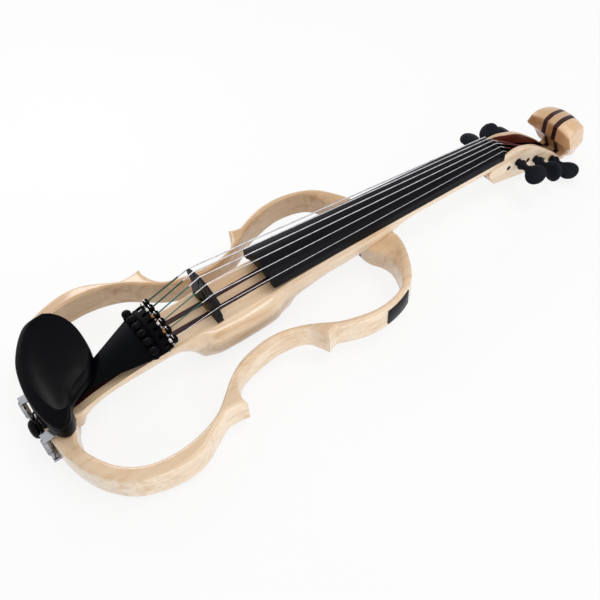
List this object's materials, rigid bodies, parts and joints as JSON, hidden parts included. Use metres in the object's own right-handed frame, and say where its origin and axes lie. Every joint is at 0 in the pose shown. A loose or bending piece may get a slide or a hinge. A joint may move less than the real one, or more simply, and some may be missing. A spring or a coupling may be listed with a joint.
{
  "type": "electric violin",
  "caption": "Open-frame electric violin with a laminated through-neck, carved belly bar, pegs, fine tuners, chin rest and clamp.",
  "frame": {"origin": "on the flat back face of the control panel, in the middle plane, straight under the bridge", "axes": "+X from the tail to the scroll, +Y to the bass side, +Z from the back up to the strings"},
  "size_m": [0.6183, 0.2126, 0.0991],
  "materials": {
    "maple": "clear gloss lacquer",
    "dark_wood": "clear gloss lacquer",
    "ebony": "satin",
    "black_lacquer": "satin gloss",
    "black_metal": "black nickel",
    "chrome": "polished",
    "bridge_black": "satin",
    "string_steel": "flat wound",
    "gut_black": "smooth",
    "cork": "matt",
    "pickup_brass": "satin",
    "black_plastic": "satin",
    "battery_wrap": "satin",
    "circuit_board": "satin",
    "jack_nickel": "nickel"
  },
  "bodies": {
    "instrument": {"centre_lamination": "maple", "bass_dark_stripe": "dark_wood", "treble_dark_stripe": "dark_wood", "bass_body_wing": "maple", "treble_body_wing": "maple", "bass_rim": "maple", "treble_rim": "maple", "fingerboard": "ebony", "nut": "ebony", "pickup": "pickup_brass", "bridge": "bridge_black", "tailpiece": "black_lacquer", "string_1": "string_steel", "string_2": "string_steel", "string_3": "string_steel", "string_4": "string_steel", "string_5": "string_steel", "string_6": "string_steel", "saddle": "ebony", "end_button": "ebony", "tail_gut": "gut_black", "chin_rest": "black_lacquer", "treble_chin_rest_cork": "cork", "bass_chin_rest_cork": "cork", "bass_clamp_hook": "chrome", "treble_clamp_hook": "chrome", "lower_clamp_bracket": "chrome", "lower_clamp_cork": "cork", "side_plate": "black_plastic", "control_panel": "black_plastic", "battery": "battery_wrap", "preamp_board": "circuit_board", "output_jack": "jack_nickel"},
    "treble_peg_1": {"treble_peg_1": "ebony"},
    "treble_peg_2": {"treble_peg_2": "ebony"},
    "treble_peg_3": {"treble_peg_3": "ebony"},
    "bass_peg_1": {"bass_peg_1": "ebony"},
    "bass_peg_2": {"bass_peg_2": "ebony"},
    "bass_peg_3": {"bass_peg_3": "ebony"},
    "tuner_screw_1": {"tuner_screw_1": "black_metal"},
    "tuner_screw_2": {"tuner_screw_2": "black_metal"},
    "tuner_screw_3": {"tuner_screw_3": "black_metal"},
    "tuner_screw_4": {"tuner_screw_4": "black_metal"},
    "tuner_screw_5": {"tuner_screw_5": "black_metal"},
    "tuner_screw_6": {"tuner_screw_6": "black_metal"},
    "tuner_lever_1": {"tuner_lever_1": "chrome"},
    "tuner_lever_2": {"tuner_lever_2": "chrome"},
    "tuner_lever_3": {"tuner_lever_3": "chrome"},
    "tuner_lever_4": {"tuner_lever_4": "chrome"},
    "tuner_lever_5": {"tuner_lever_5": "chrome"},
    "tuner_lever_6": {"tuner_lever_6": "chrome"},
    "bass_clamp_barrel": {"bass_clamp_barrel": "chrome"},
    "treble_clamp_barrel": {"treble_clamp_barrel": "chrome"},
    "volume_knob": {"volume_knob": "black_plastic"},
    "tone_knob": {"tone_knob": "black_plastic"},
    "battery_door": {"battery_door": "black_plastic"}
  },
  "joints": [
    {"name": "treble_peg_1_turn", "type": "hinge", "parent": "instrument", "child": "treble_peg_1", "pos_m": [0.353, 0, 0.014], "axis": [0, 1, 0], "continuous": true},
    {"name": "treble_peg_2_turn", "type": "hinge", "parent": "instrument", "child": "treble_peg_2", "pos_m": [0.38, 0, 0.0032], "axis": [0, 1, 0], "continuous": true},
    {"name": "treble_peg_3_turn", "type": "hinge", "parent": "instrument", "child": "treble_peg_3", "pos_m": [0.407, 0, -0.0114], "axis": [0, 1, 0], "continuous": true},
    {"name": "bass_peg_1_turn", "type": "hinge", "parent": "instrument", "child": "bass_peg_1", "pos_m": [0.341, 0, 0.0125], "axis": [0, 1, 0], "continuous": true},
    {"name": "bass_peg_2_turn", "type": "hinge", "parent": "instrument", "child": "bass_peg_2", "pos_m": [0.369, 0, 0.0074], "axis": [0, 1, 0], "continuous": true},
    {"name": "bass_peg_3_turn", "type": "hinge", "parent": "instrument", "child": "bass_peg_3", "pos_m": [0.394, 0, -0.0063], "axis": [0, 1, 0], "continuous": true},
    {"name": "tuner_screw_1_turn", "type": "hinge", "parent": "instrument", "child": "tuner_screw_1", "pos_m": [-0.062, -0.023, 0.055], "axis": [0, 0, -1], "range_deg": [0, 720]},
    {"name": "tuner_screw_2_turn", "type": "hinge", "parent": "instrument", "child": "tuner_screw_2", "pos_m": [-0.062, -0.0138, 0.055], "axis": [0, 0, -1], "range_deg": [0, 720]},
    {"name": "tuner_screw_3_turn", "type": "hinge", "parent": "instrument", "child": "tuner_screw_3", "pos_m": [-0.062, -0.0046, 0.055], "axis": [0, 0, -1], "range_deg": [0, 720]},
    {"name": "tuner_screw_4_turn", "type": "hinge", "parent": "instrument", "child": "tuner_screw_4", "pos_m": [-0.062, 0.0046, 0.055], "axis": [0, 0, -1], "range_deg": [0, 720]},
    {"name": "tuner_screw_5_turn", "type": "hinge", "parent": "instrument", "child": "tuner_screw_5", "pos_m": [-0.062, 0.0138, 0.055], "axis": [0, 0, -1], "range_deg": [0, 720]},
    {"name": "tuner_screw_6_turn", "type": "hinge", "parent": "instrument", "child": "tuner_screw_6", "pos_m": [-0.062, 0.023, 0.055], "axis": [0, 0, -1], "range_deg": [0, 720]},
    {"name": "tuner_lever_1_tilt", "type": "hinge", "parent": "instrument", "child": "tuner_lever_1", "pos_m": [-0.0505, -0.023, 0.04847], "axis": [0, 1, 0], "range_deg": [-5.2, 0]},
    {"name": "tuner_lever_2_tilt", "type": "hinge", "parent": "instrument", "child": "tuner_lever_2", "pos_m": [-0.0505, -0.0138, 0.05033], "axis": [0, 1, 0], "range_deg": [-5.2, 0]},
    {"name": "tuner_lever_3_tilt", "type": "hinge", "parent": "instrument", "child": "tuner_lever_3", "pos_m": [-0.0505, -0.0046, 0.05126], "axis": [0, 1, 0], "range_deg": [-5.2, 0]},
    {"name": "tuner_lever_4_tilt", "type": "hinge", "parent": "instrument", "child": "tuner_lever_4", "pos_m": [-0.0505, 0.0046, 0.05126], "axis": [0, 1, 0], "range_deg": [-5.2, 0]},
    {"name": "tuner_lever_5_tilt", "type": "hinge", "parent": "instrument", "child": "tuner_lever_5", "pos_m": [-0.0505, 0.0138, 0.05033], "axis": [0, 1, 0], "range_deg": [-5.2, 0]},
    {"name": "tuner_lever_6_tilt", "type": "hinge", "parent": "instrument", "child": "tuner_lever_6", "pos_m": [-0.0505, 0.023, 0.04847], "axis": [0, 1, 0], "range_deg": [-5.2, 0]},
    {"name": "bass_clamp_barrel_turn", "type": "hinge", "parent": "instrument", "child": "bass_clamp_barrel", "pos_m": [-0.1658, 0.0213, 0.016], "axis": [0, 0, 1], "continuous": true},
    {"name": "treble_clamp_barrel_turn", "type": "hinge", "parent": "instrument", "child": "treble_clamp_barrel", "pos_m": [-0.1658, -0.0213, 0.016], "axis": [0, 0, 1], "continuous": true},
    {"name": "volume_knob_turn", "type": "hinge", "parent": "instrument", "child": "volume_knob", "pos_m": [0.00655, 0, 0.004], "axis": [0, 0, -1], "range_deg": [0, 300]},
    {"name": "tone_knob_turn", "type": "hinge", "parent": "instrument", "child": "tone_knob", "pos_m": [0.01635, 0, 0.004], "axis": [0, 0, -1], "range_deg": [0, 300]},
    {"name": "battery_door_hinge", "type": "hinge", "parent": "instrument", "child": "battery_door", "pos_m": [0.02115, 0, 0.0004], "axis": [0, 1, 0], "range_deg": [0, 110]}
  ],
  "couplings": [
    {"joint": "tuner_lever_1_tilt", "follows": "tuner_screw_1_turn", "ratio": -0.0069444},
    {"joint": "tuner_lever_2_tilt", "follows": "tuner_screw_2_turn", "ratio": -0.0069444},
    {"joint": "tuner_lever_3_tilt", "follows": "tuner_screw_3_turn", "ratio": -0.0069444},
    {"joint": "tuner_lever_4_tilt", "follows": "tuner_screw_4_turn", "ratio": -0.0069444},
    {"joint": "tuner_lever_5_tilt", "follows": "tuner_screw_5_turn", "ratio": -0.0069444},
    {"joint": "tuner_lever_6_tilt", "follows": "tuner_screw_6_turn", "ratio": -0.0069444}
  ]
}
